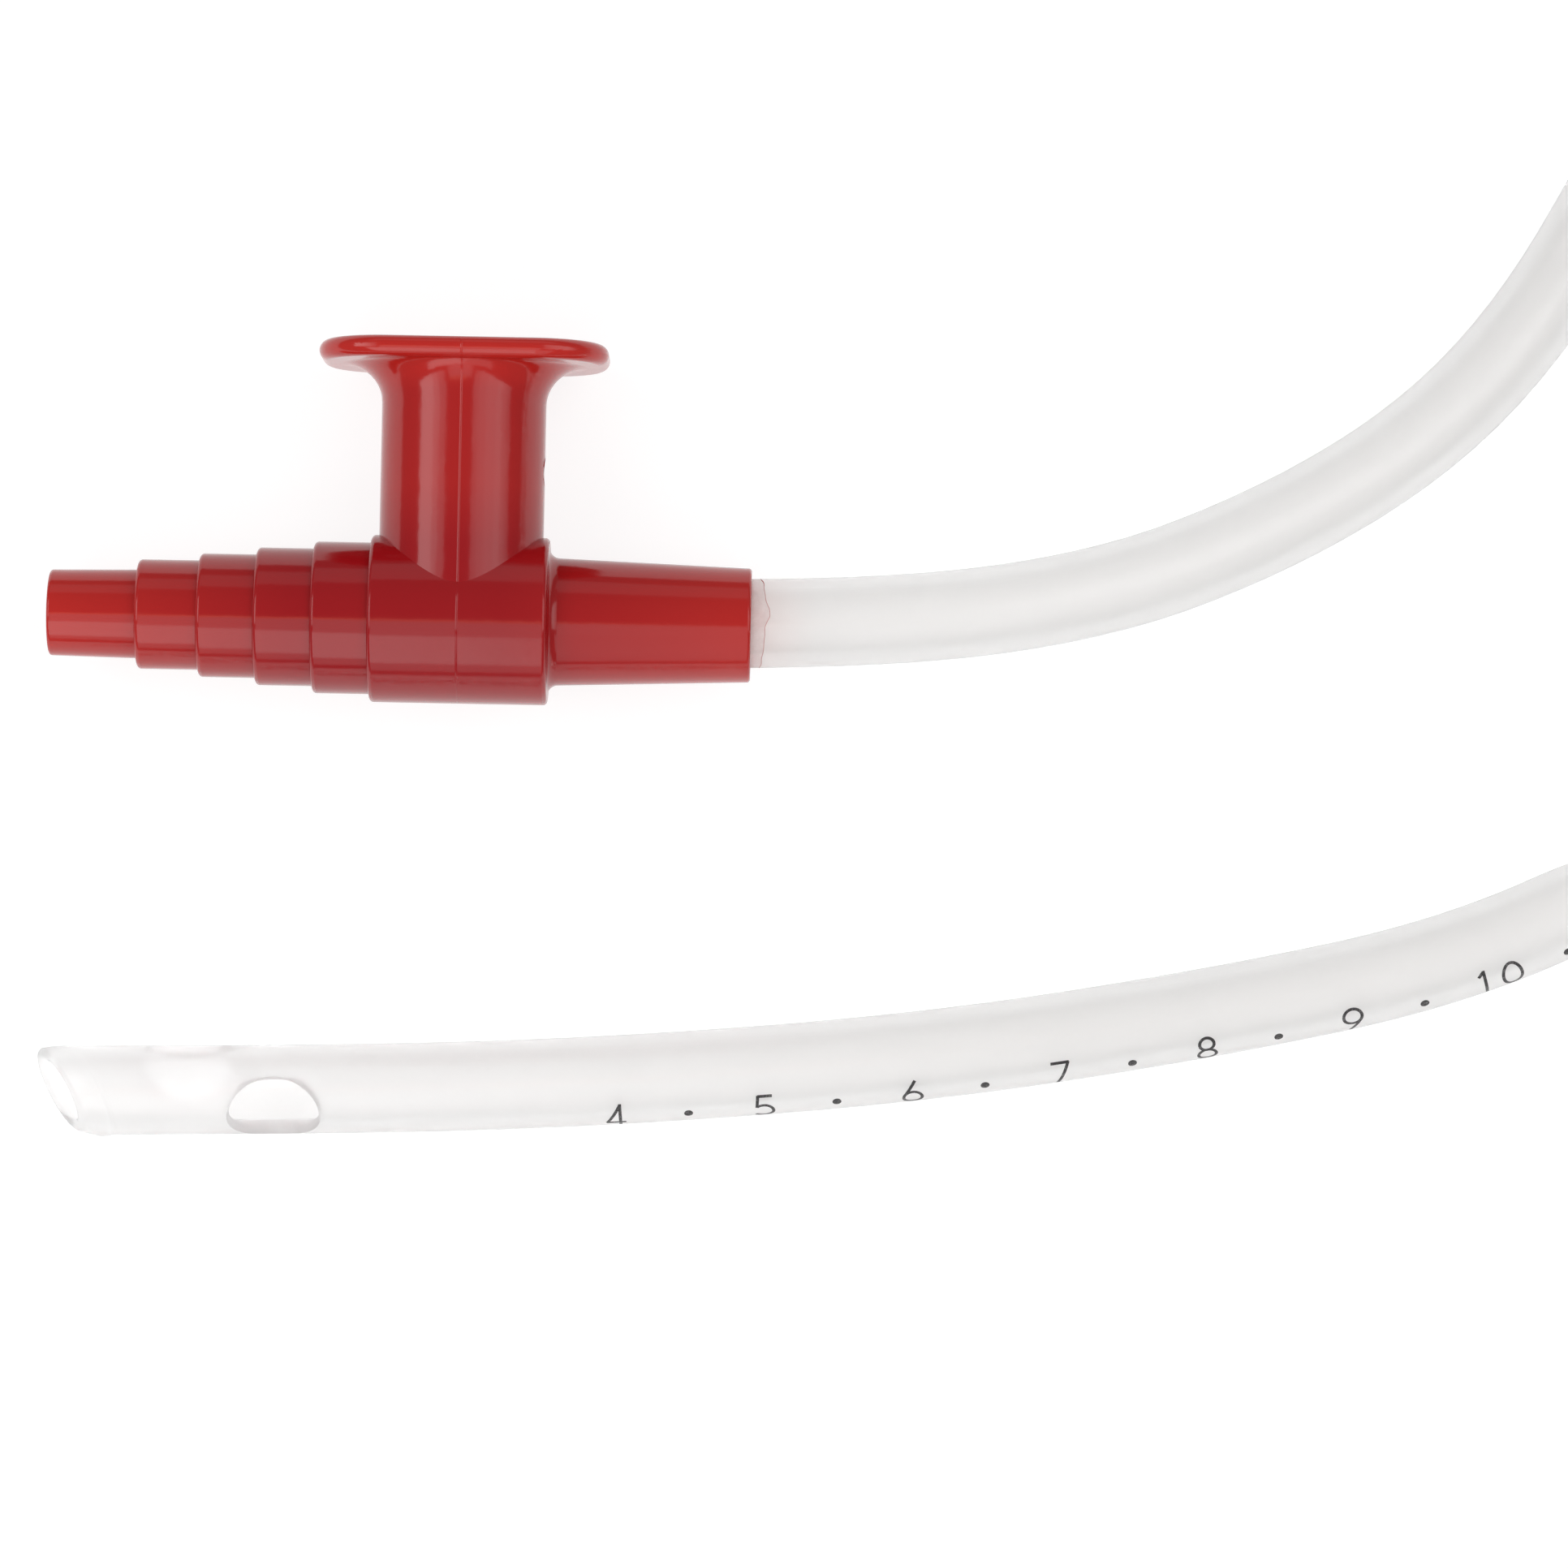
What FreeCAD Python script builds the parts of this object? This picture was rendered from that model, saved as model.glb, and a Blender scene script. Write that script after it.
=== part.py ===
import FreeCAD, Part
import math
import os

import Sketcher

# Suction catheter, size 18 French: one moulded connector with a stepped tubing barb, a hollow
# thumb port under an oval rest and a tapered socket, and one extruded tube bonded into that
# socket. Millimetres, +Z up, barb towards -X. The connector lies on its side on the floor with
# its thumb port pointing along +Y, and the origin is under the middle of its outer box.

SIZES = [
    # alias, value, what it is
    ("tip_length", 5.95, "smallest barb section, at the suction end"),
    ("tip_diameter", 5.8, "barb at its end face"),
    ("tip_root_diameter", 6.0, "the same section where the first step rises"),
    ("lead_step_length", 4.15, "first step"),
    ("step_length", 3.85, "second, third and fourth step"),
    ("lead_step_diameter", 7.4, "first step"),
    ("step_rise", 0.95, "growth in diameter from each step to the next"),
    ("hub_length", 12.0, "cylinder that carries the thumb port"),
    ("hub_rise", 1.05, "growth in diameter from the fourth step to that cylinder"),
    ("socket_length", 13.65, "sleeve that holds the tube"),
    ("socket_root_diameter", 8.65, "sleeve at the hub"),
    ("socket_end_diameter", 7.7, "sleeve at its mouth"),
    ("lumen_diameter", 4.0, "air way through the barb and the hub"),
    ("stem_end_margin", 0.45, "hub left free at each end of the port stem"),
    ("stem_narrowing", 0.35, "stem's half width less than its half length"),
    ("port_wall", 1.4, "wall of the stem at its sides, round the air hole"),
    ("rest_height", 17.9, "middle of the thumb rest above the connector's axis"),
    ("rest_reach", 4.2, "thumb rest beyond the stem, each way along the axis"),
    ("rest_overhang", 1.3, "thumb rest beyond the stem at each side"),
    ("rest_thickness", 1.4, "rim of the thumb rest"),
    ("rim_flat", 0.02, "flat left in the middle of the rest's rounded rim"),
    ("rest_corner", 4.8, "corner radius of the thumb rest in plan"),
    ("dish_depth", 0.35, "hollow in the thumb rest"),
    ("dish_margin", 1.0, "rest left free at each side of the hollow"),
    ("flare_height", 2.6, "how far below the rest the stem starts to flare"),
    ("flare_reach", 2.75, "how far the flare spreads along the axis"),
    ("flare_margin", 0.1, "rest's flat underside left free beside the flare"),
    ("shoulder_round", 0.3, "outer edge of each step and of the hub"),
    ("hub_fillet", 0.7, "hollow round between hub and socket"),
    ("mouth_round", 0.22, "outer edges of the barb's and the socket's ends"),
    ("bore_round", 0.2, "inner edges of the barb's and the socket's ends"),
    ("port_round", 0.45, "edge of the air hole in the thumb rest"),
    ("gate_height", 10.1, "injection mark above the connector's axis"),
    ("gate_diameter", 2.0, "injection mark, a shallow recess"),
    ("gate_depth", 0.25, "injection mark"),
    ("nub_diameter", 0.8, "broken-off runner in the injection mark"),
    ("nub_height", 0.15, "broken-off runner in the injection mark"),
    ("tube_diameter", 6.0, "18 French, outside"),
    ("tube_bore", 4.1, "inside"),
    ("bond_gap", 0.05, "solvent film between tube and socket, on the radius"),
    ("seat_depth", 11.0, "length of tube inside the socket"),
    ("leaving_run", 5.8, "straight stretch of the tube outside the socket"),
    ("coil_radius", 34.5, "corners of the coil's route, from its middle"),
    ("turn_gap", 0.2, "air between the coil's two turns"),
    ("bevel_angle", 32.0, "slant of the tube's tip from a square cut"),
    ("bevel_turn", 53.0, "way the slanted tip faces, from straight up towards -Y"),
    ("tip_reach", 24.0, "end of the tube's tip from the origin, along -X"),
    ("tip_spare", 0.9, "length of the tube that the slanted cut takes off"),
    ("eye_length", 6.3, "side eye along the tube"),
    ("eye_width", 4.9, "side eye across the tube"),
    ("eye_turn", 41.0, "way the near eye faces, from straight up towards -Y"),
    ("near_eye_place", 16.2, "middle of the near eye from the tip"),
    ("far_eye_place", 10.2, "middle of the opposite eye from the tip"),
    ("lip_round", 0.3, "heat-polished edge of the tip"),
]

doc = FreeCAD.newDocument("suction_catheter")
sheet = doc.addObject("Spreadsheet::Sheet", "sizes")
size = {}
for row, (alias, value, meaning) in enumerate(SIZES, start=1):
    sheet.set(f"A{row}", meaning)
    sheet.set(f"B{row}", str(value))
    sheet.setAlias(f"B{row}", alias)
    size[alias] = value
doc.recompute()


def named(alias):
    """One size, as an expression and as a number."""
    return f"sizes.{alias}", size[alias]


def step(count):
    """A step's diameter, that many steps after the first, as an expression and as a number."""
    expression = f"sizes.lead_step_diameter + {count} * sizes.step_rise"
    return expression, size["lead_step_diameter"] + count * size["step_rise"]


# The connector's own frame: X along its air way with 0 at the barb's end face, Y up the stem.
# Each section is its length, and its diameter at its start and at its end.
LAST_STEP = 3
HUB_DIAMETER = (f"{step(LAST_STEP)[0]} + sizes.hub_rise", step(LAST_STEP)[1] + size["hub_rise"])
BARB = [
    ("tip_length", named("tip_diameter"), named("tip_root_diameter")),
    ("lead_step_length", step(0), step(0)),
    ("step_length", step(1), step(1)),
    ("step_length", step(2), step(2)),
    ("step_length", step(LAST_STEP), step(LAST_STEP)),
]
SECTIONS = BARB + [
    ("hub_length", HUB_DIAMETER, HUB_DIAMETER),
    ("socket_length", named("socket_root_diameter"), named("socket_end_diameter")),
]
STEM_PLACE = " + ".join(f"sizes.{length}" for length, _, _ in BARB) + " + sizes.hub_length / 2"
WHOLE_LENGTH = " + ".join(f"sizes.{length}" for length, _, _ in SECTIONS)
STEM_REACH = "(sizes.hub_length / 2 - sizes.stem_end_margin)"
STEM_SIDE = f"({STEM_REACH} - sizes.stem_narrowing)"
PORT_DIAMETER = f"2 * ({STEM_SIDE} - sizes.port_wall)"
REST_REACH = f"({STEM_REACH} + sizes.rest_reach)"
REST_SIDE = f"({STEM_SIDE} + sizes.rest_overhang)"
REST_TOP = "sizes.rest_height + sizes.rest_thickness / 2"
REST_UNDER = "sizes.rest_height - sizes.rest_thickness / 2"
FLARE_SPREAD = "(sizes.rest_overhang - sizes.rest_thickness / 2 - sizes.flare_margin)"
DISH = f"({REST_SIDE} - sizes.dish_margin)"
FLARE_OVALS = 6
barb_length = sum(size[length] for length, _, _ in BARB)
stem_place = barb_length + size["hub_length"] / 2
whole_length = sum(size[length] for length, _, _ in SECTIONS)
hub_radius = HUB_DIAMETER[1] / 2
stem_reach = size["hub_length"] / 2 - size["stem_end_margin"]
stem_side = stem_reach - size["stem_narrowing"]
port_radius = stem_side - size["port_wall"]
rest_reach = stem_reach + size["rest_reach"]
rest_side = stem_side + size["rest_overhang"]
flare_spread = size["rest_overhang"] - size["rest_thickness"] / 2 - size["flare_margin"]
rest_top = size["rest_height"] + size["rest_thickness"] / 2
rest_under = size["rest_height"] - size["rest_thickness"] / 2

# How the connector lies: it rolls about its air way until the rest's rim touches the floor too.
rim_radius = size["rest_thickness"] / 2
rim_side = rest_side - rim_radius
rim_arm = math.hypot(rim_side, size["rest_height"])
roll = math.acos((hub_radius - rim_radius) / rim_arm) - math.atan2(size["rest_height"], rim_side)
rim_top = size["rest_height"] * math.cos(roll) + rim_side * math.sin(roll) + rim_radius
axis_y = -(rim_top - hub_radius) / 2
axis_z = hub_radius
mouth_x = whole_length / 2
LYING = FreeCAD.Placement(
    FreeCAD.Vector(-whole_length / 2, axis_y, axis_z),
    FreeCAD.Rotation(FreeCAD.Vector(1, 0, 0), math.degrees(roll)),
)


def origin_plane(body, role):
    """The body's own plane of that role."""
    return next(f for f in body.Origin.OriginFeatures if f.Role == role)


def new_sketch(body, name, role, offset="0"):
    """A sketch on one of the body's own planes, moved along the plane's normal by offset. The
    XZ plane's normal is -Y, so a height up the stem is a negative offset there."""
    sketch = body.newObject("Sketcher::SketchObject", name)
    sketch.AttachmentSupport = [(origin_plane(body, role), "")]
    sketch.MapMode = "FlatFace"
    sketch.setExpression("AttachmentOffset.Base.z", offset)
    return sketch


def bind(sketch, kind, *where_value_expression):
    """One dimension of a sketch, tied to the sheet by an expression."""
    *where, value, expression = where_value_expression
    index = sketch.addConstraint(Sketcher.Constraint(kind, *where, value))
    sketch.setExpression(f"Constraints[{index}]", expression)


def lathe_profile(sketch, sections):
    """Half outline of coaxial sections side by side: a closed chain of lines from the axis up to
    the first section, along each section's outside and step, and back along the axis."""
    points = [(0.0, 0.0)]
    for length, first, last in sections:
        x = points[-1][0]
        points += [(x, first[1] / 2), (x + size[length], last[1] / 2)]
    points.append((points[-1][0], 0.0))
    count = len(points)
    for i, start in enumerate(points):
        end = points[(i + 1) % count]
        line = Part.LineSegment(FreeCAD.Vector(*start, 0), FreeCAD.Vector(*end, 0))
        sketch.addGeometry(line, False)
    for i in range(count):
        sketch.addConstraint(Sketcher.Constraint("Coincident", i, 2, (i + 1) % count, 1))
    sketch.addConstraint(Sketcher.Constraint("Coincident", 0, 1, -1, 1))
    sketch.addConstraint(Sketcher.Constraint("PointOnObject", count - 1, 1, -1))
    for i in range(0, count - 1, 2):
        sketch.addConstraint(Sketcher.Constraint("Vertical", i))
    for i, (length, first, last) in enumerate(sections):
        line = 2 * i + 1
        bind(sketch, "DistanceX", line, 1, line, 2, size[length], f"sizes.{length}")
        bind(sketch, "DistanceY", -1, 1, line, 1, first[1] / 2, f"({first[0]}) / 2")
        bind(sketch, "DistanceY", -1, 1, line, 2, last[1] / 2, f"({last[0]}) / 2")


def ellipse(sketch, half_length, half_width, length_expression, width_expression):
    """An ellipse round the stem's axis, its long side along X."""
    centre = FreeCAD.Vector(stem_place, 0, 0)
    sketch.addGeometry(Part.Ellipse(centre, half_length, half_width), False)
    sketch.exposeInternalGeometry(0)
    sketch.addConstraint(Sketcher.Constraint("Horizontal", 1))
    sketch.addConstraint(Sketcher.Constraint("PointOnObject", 0, 3, -1))
    bind(sketch, "DistanceX", -1, 1, 0, 3, stem_place, STEM_PLACE)
    bind(sketch, "Distance", 1, 2 * half_length, f"2 * ({length_expression})")
    bind(sketch, "Distance", 2, 2 * half_width, f"2 * ({width_expression})")


def circle(sketch, diameter, expression, x=0.0, x_expression=None):
    """A circle of that diameter, its middle on the sketch's own X axis at x."""
    ring = Part.Circle(FreeCAD.Vector(x, 0, 0), FreeCAD.Vector(0, 0, 1), diameter / 2)
    sketch.addGeometry(ring, False)
    bind(sketch, "Diameter", 0, diameter, expression)
    sketch.addConstraint(Sketcher.Constraint("PointOnObject", 0, 3, -1))
    if x_expression:
        bind(sketch, "DistanceX", -1, 1, 0, 3, x, x_expression)
    else:
        sketch.addConstraint(Sketcher.Constraint("PointOnObject", 0, 3, -2))


def rest_plan(sketch):
    """The thumb rest in plan: a rectangle round the stem's axis with round corners."""
    reach, side, corner = rest_reach, rest_side, size["rest_corner"]
    across, up = FreeCAD.Vector(1, 0, 0), FreeCAD.Vector(0, 1, 0)
    middle = stem_place * across
    turn = FreeCAD.Vector(0, 0, 1)
    corners = []
    for k, (sx, sy) in enumerate(((1, 1), (-1, 1), (-1, -1), (1, -1))):
        centre = middle + sx * (reach - corner) * across + sy * (side - corner) * up
        arc = Part.ArcOfCircle(Part.Circle(centre, turn, corner), k * math.pi / 2, (k + 1) * math.pi / 2)
        corners.append(arc)
        sketch.addGeometry(arc, False)
    for k in range(4):
        line = Part.LineSegment(corners[k].EndPoint, corners[(k + 1) % 4].StartPoint)
        sketch.addGeometry(line, False)
    for k in range(4):
        sketch.addConstraint(Sketcher.Constraint("Tangent", k, 2, 4 + k, 1))
        sketch.addConstraint(Sketcher.Constraint("Tangent", 4 + k, 2, (k + 1) % 4, 1))
    for k in (4, 6):
        sketch.addConstraint(Sketcher.Constraint("Horizontal", k))
    sketch.addConstraint(Sketcher.Constraint("Vertical", 5))
    for k in (1, 2, 3):
        sketch.addConstraint(Sketcher.Constraint("Equal", 0, k))
    bind(sketch, "Radius", 0, corner, "sizes.rest_corner")
    bind(sketch, "DistanceX", -1, 1, 7, 1, stem_place + reach, f"{STEM_PLACE} + {REST_REACH}")
    bind(sketch, "DistanceX", -1, 1, 5, 1, stem_place - reach, f"{STEM_PLACE} - {REST_REACH}")
    bind(sketch, "DistanceY", -1, 1, 4, 1, side, REST_SIDE)
    bind(sketch, "DistanceY", 6, 1, -1, 1, side, REST_SIDE)


def edges_where(shape, wanted):
    """Names of the edges for which wanted(edge) is true."""
    return [f"Edge{i}" for i, edge in enumerate(shape.Edges, start=1) if wanted(edge)]


def is_ring(edge, x, radius):
    """Whether an edge is a circle round the air way at that place and radius."""
    curve = edge.Curve
    return (
        isinstance(curve, Part.Circle)
        and abs(curve.Center.x - x) < 1e-4
        and abs(curve.Radius - radius) < 1e-4
        and math.hypot(curve.Center.y, curve.Center.z) < 1e-4
    )


def round_edges(body, name, wanted, expression):
    """A fillet on the body's edges that wanted picks, with its radius tied to the sheet."""
    doc.recompute()
    base = body.Tip
    names = edges_where(base.Shape, wanted)
    if not names:
        raise ValueError(f"{name} finds no edge")
    fillet = body.newObject("PartDesign::Fillet", name)
    fillet.Base = (base, names)
    fillet.setExpression("Radius", expression)
    doc.recompute()
    return fillet


def make_connector():
    """The red connector: turned profile, stem, thumb rest and flare, then its holes."""
    body = doc.addObject("PartDesign::Body", "connector")
    body.Label = "connector"

    outside = new_sketch(body, "outside", "XY_Plane")
    lathe_profile(outside, SECTIONS)
    turned = body.newObject("PartDesign::Revolution", "turned")
    turned.Profile = outside
    turned.ReferenceAxis = (outside, ["H_Axis"])
    turned.Angle = 360
    doc.recompute()

    # Round every shoulder that faces the barb's end, and the hollow where the socket starts.
    shoulders = []
    x = 0.0
    for length, first, _ in SECTIONS[:-1]:
        shoulders.append((x, first[1] / 2))
        x += size[length]
    hub_end = x
    steps = shoulders[1:] + [(hub_end, hub_radius)]
    ends = [shoulders[0], (whole_length, size["socket_end_diameter"] / 2)]
    round_edges(body, "shoulder_rounds", lambda e: any(is_ring(e, *s) for s in steps), "sizes.shoulder_round")
    round_edges(body, "mouth_rounds", lambda e: any(is_ring(e, *s) for s in ends), "sizes.mouth_round")
    hollow = (hub_end, size["socket_root_diameter"] / 2)
    round_edges(body, "hub_hollow", lambda e: is_ring(e, *hollow), "sizes.hub_fillet")

    # Thumb rest: a plate with a fully rounded rim.
    plan = new_sketch(body, "rest_plan", "XZ_Plane", f"-({REST_UNDER})")
    rest_plan(plan)
    rest = body.newObject("PartDesign::Pad", "rest")
    rest.Profile = plan
    rest.Reversed = True
    rest.setExpression("Length", "sizes.rest_thickness")
    doc.recompute()
    rims = [rest_under, rest_top]
    round_edges(
        body,
        "rim",
        lambda e: any(abs(e.CenterOfMass.y - rim) < 1e-4 for rim in rims),
        "(sizes.rest_thickness - sizes.rim_flat) / 2",
    )

    # Stem: an oval column from the air way up to the rest.
    foot = new_sketch(body, "stem_plan", "XZ_Plane")
    ellipse(foot, stem_reach, stem_side, STEM_REACH, STEM_SIDE)
    stem = body.newObject("PartDesign::Pad", "stem")
    stem.Profile = foot
    stem.Reversed = True
    stem.setExpression("Length", "sizes.rest_height")

    # Flare: ovals that grow as a quarter circle does, from the stem's side out under the rest.
    ovals = []
    for k in range(FLARE_OVALS):
        angle = math.pi / 2 * k / (FLARE_OVALS - 1)
        below, spread = 1 - math.sin(angle), 1 - math.cos(angle)
        place = f"-({REST_UNDER} - sizes.flare_height * {below:.6f})"
        oval = new_sketch(body, f"flare_{k}", "XZ_Plane", place)
        ellipse(
            oval,
            stem_reach + size["flare_reach"] * spread,
            stem_side + flare_spread * spread,
            f"{STEM_REACH} + sizes.flare_reach * {spread:.6f}",
            f"{STEM_SIDE} + {FLARE_SPREAD} * {spread:.6f}",
        )
        ovals.append(oval)
    flare = body.newObject("PartDesign::AdditiveLoft", "flare")
    flare.Profile = ovals[0]
    flare.Sections = ovals[1:]
    doc.recompute()

    # Dish in the thumb rest: a flat arc turned about the stem's axis.
    dish = body.newObject("PartDesign::SubtractiveSphere", "dish")
    dish.AttachmentSupport = [(origin_plane(body, "XZ_Plane"), "")]
    dish.MapMode = "FlatFace"
    radius = f"({DISH} ^ 2 + sizes.dish_depth ^ 2) / (2 * sizes.dish_depth)"
    dish.setExpression("Radius", radius)
    dish.setExpression("AttachmentOffset.Base.x", STEM_PLACE)
    dish.setExpression("AttachmentOffset.Base.z", f"-({REST_TOP} - sizes.dish_depth + {radius})")
    doc.recompute()

    # Air hole down the stem into the hub.
    port = new_sketch(body, "port_plan", "XZ_Plane")
    circle(port, 2 * port_radius, PORT_DIAMETER, stem_place, STEM_PLACE)
    bore = body.newObject("PartDesign::Pocket", "port")
    bore.Profile = port
    bore.setExpression("Length", REST_TOP)
    round_edges(
        body,
        "port_mouth",
        lambda e: isinstance(e.Curve, Part.Circle)
        and abs(e.Curve.Radius - port_radius) < 1e-4
        and e.Curve.Center.y > size["rest_height"],
        "sizes.port_round",
    )

    # Air way from the barb's end to the tube's seat, and the seat itself.
    way = new_sketch(body, "way_section", "YZ_Plane")
    circle(way, size["lumen_diameter"], "sizes.lumen_diameter")
    lumen = body.newObject("PartDesign::Pocket", "air_way")
    lumen.Profile = way
    lumen.Reversed = True
    lumen.setExpression("Length", WHOLE_LENGTH)
    doc.recompute()
    seat = new_sketch(body, "seat_section", "YZ_Plane", WHOLE_LENGTH)
    seat_diameter = size["tube_diameter"] + 2 * size["bond_gap"]
    circle(seat, seat_diameter, "sizes.tube_diameter + 2 * sizes.bond_gap")
    socket = body.newObject("PartDesign::Pocket", "seat")
    socket.Profile = seat
    socket.setExpression("Length", "sizes.seat_depth")
    inner = [(0.0, size["lumen_diameter"] / 2), (whole_length, seat_diameter / 2)]
    round_edges(body, "bore_rounds", lambda e: any(is_ring(e, *s) for s in inner), "sizes.bore_round")

    # Injection mark on the stem's socket side: a shallow recess with the broken runner in it.
    floor = f"{STEM_PLACE} + {STEM_REACH} - sizes.gate_depth"
    height, up = size["gate_height"], "sizes.gate_height"
    mark = new_sketch(body, "gate_plan", "YZ_Plane", floor)
    circle(mark, size["gate_diameter"], "sizes.gate_diameter", height, up)
    recess = body.newObject("PartDesign::Pocket", "gate_mark")
    recess.Profile = mark
    recess.Reversed = True
    recess.setExpression("Length", "sizes.gate_diameter")
    doc.recompute()
    runner = new_sketch(body, "nub_plan", "YZ_Plane", floor)
    circle(runner, size["nub_diameter"], "sizes.nub_diameter", height, up)
    nub = body.newObject("PartDesign::Pad", "nub")
    nub.Profile = runner
    nub.setExpression("Length", "sizes.nub_height")
    doc.recompute()

    body.Placement = LYING
    doc.recompute()
    return body


# The tube's way over the floor. Its seat and first run come from the connector. Then points
# chosen by hand lead to the store coil, two turns of it one on the other, and back to the tip.
FLOOR = size["tube_diameter"] / 2
UPPER = FLOOR + size["tube_diameter"] + size["turn_gap"]
COIL_CENTRE = (116.4, 17.8)
COIL_FIRST, COIL_STEP, COIL_POINTS = 164.0, 29.3, 21
CLIMB_START, CLIMB_END = 9, 12
ARC_SHARE = 0.45


def coil_points():
    """The coil's points, clockwise seen from above: the first turn lies on the floor, and the
    tube then climbs on to it, gently at both ends of the climb, and stays there."""
    points = []
    for k in range(COIL_POINTS):
        angle = math.radians(COIL_FIRST - COIL_STEP * k)
        way = min(max((k - CLIMB_START) / (CLIMB_END - CLIMB_START), 0.0), 1.0)
        climb = 3 * way**2 - 2 * way**3
        x = COIL_CENTRE[0] + size["coil_radius"] * math.cos(angle)
        y = COIL_CENTRE[1] + size["coil_radius"] * math.sin(angle)
        points.append((x, y, FLOOR + (UPPER - FLOOR) * climb))
    return points


def route():
    """The tube's whole route, from its seat in the socket to its tip."""
    seat = mouth_x - size["seat_depth"]
    leaving = [(seat, axis_y, axis_z), (mouth_x + size["leaving_run"], axis_y, axis_z)]
    outward = [(46.5, -4.3, 4.6), (59.0, 0.8, 3.4), (69.5, 7.5, FLOOR), (77.0, 15.9, FLOOR)]
    homeward = [
        (115.4, -16.9, UPPER),
        (99.3, -20.5, 7.1),
        (84.0, -22.4, 3.8),
        (71.5, -28.3, FLOOR),
        (55.0, -32.1, FLOOR),
        (36.0, -35.4, FLOOR),
        (14.0, -37.5, FLOOR),
        (-6.0, -38.4, FLOOR),
        (-size["tip_reach"] - size["tip_spare"], -38.75, FLOOR),
    ]
    return [FreeCAD.Vector(*p) for p in leaving + outward + coil_points() + homeward]


def centreline(points):
    """Straight runs joined by tangent arcs, each arc's radius ARC_SHARE of its shorter run
    divided by the tangent of half the turn. Returns the wire and the radii."""
    edges, radii = [], []
    start = points[0]
    for before, corner, after in zip(points, points[1:], points[2:]):
        back, on = before - corner, after - corner
        setback = ARC_SHARE * min(back.Length, on.Length)
        back.normalize()
        on.normalize()
        half_turn = (math.pi - back.getAngle(on)) / 2
        radius = setback / math.tan(half_turn)
        first, last = corner + back * setback, corner + on * setback
        inward = (back + on).normalize()
        middle = corner + inward * (radius / math.cos(half_turn) - radius)
        edges.append(Part.LineSegment(start, first).toShape())
        edges.append(Part.Arc(first, middle, last).toShape())
        radii.append(radius)
        start = last
    edges.append(Part.LineSegment(start, points[-1]).toShape())
    return Part.Wire(edges), radii


def across_x(radius_expression, name, place):
    """A circle square to the tube's first run."""
    ring = doc.addObject("Part::Circle", name)
    ring.setExpression("Radius", radius_expression)
    ring.Placement = FreeCAD.Placement(place, FreeCAD.Rotation(FreeCAD.Vector(0, 1, 0), 90))
    return ring


def swept(name, ring, spine):
    """A solid of that ring carried along the spine's wire."""
    sweep = doc.addObject("Part::Sweep", name)
    sweep.Sections = [ring]
    sweep.Spine = (spine, [f"Edge{i}" for i in range(1, len(spine.Shape.Edges) + 1)])
    sweep.Solid = True
    sweep.Frenet = False
    return sweep


def facing(turn, heading):
    """Rotation whose Z axis points out of the tube at that turn from straight up towards -Y, and
    whose X axis points along the tube towards its tip."""
    along = FreeCAD.Vector(heading).normalize()
    level = along.cross(FreeCAD.Vector(0, 0, 1)).normalize() * -1
    angle = math.radians(turn)
    outward = FreeCAD.Vector(0, 0, 1) * math.cos(angle) + level * math.sin(angle)
    return FreeCAD.Rotation(along, outward.cross(along), outward, "XZY")


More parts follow.
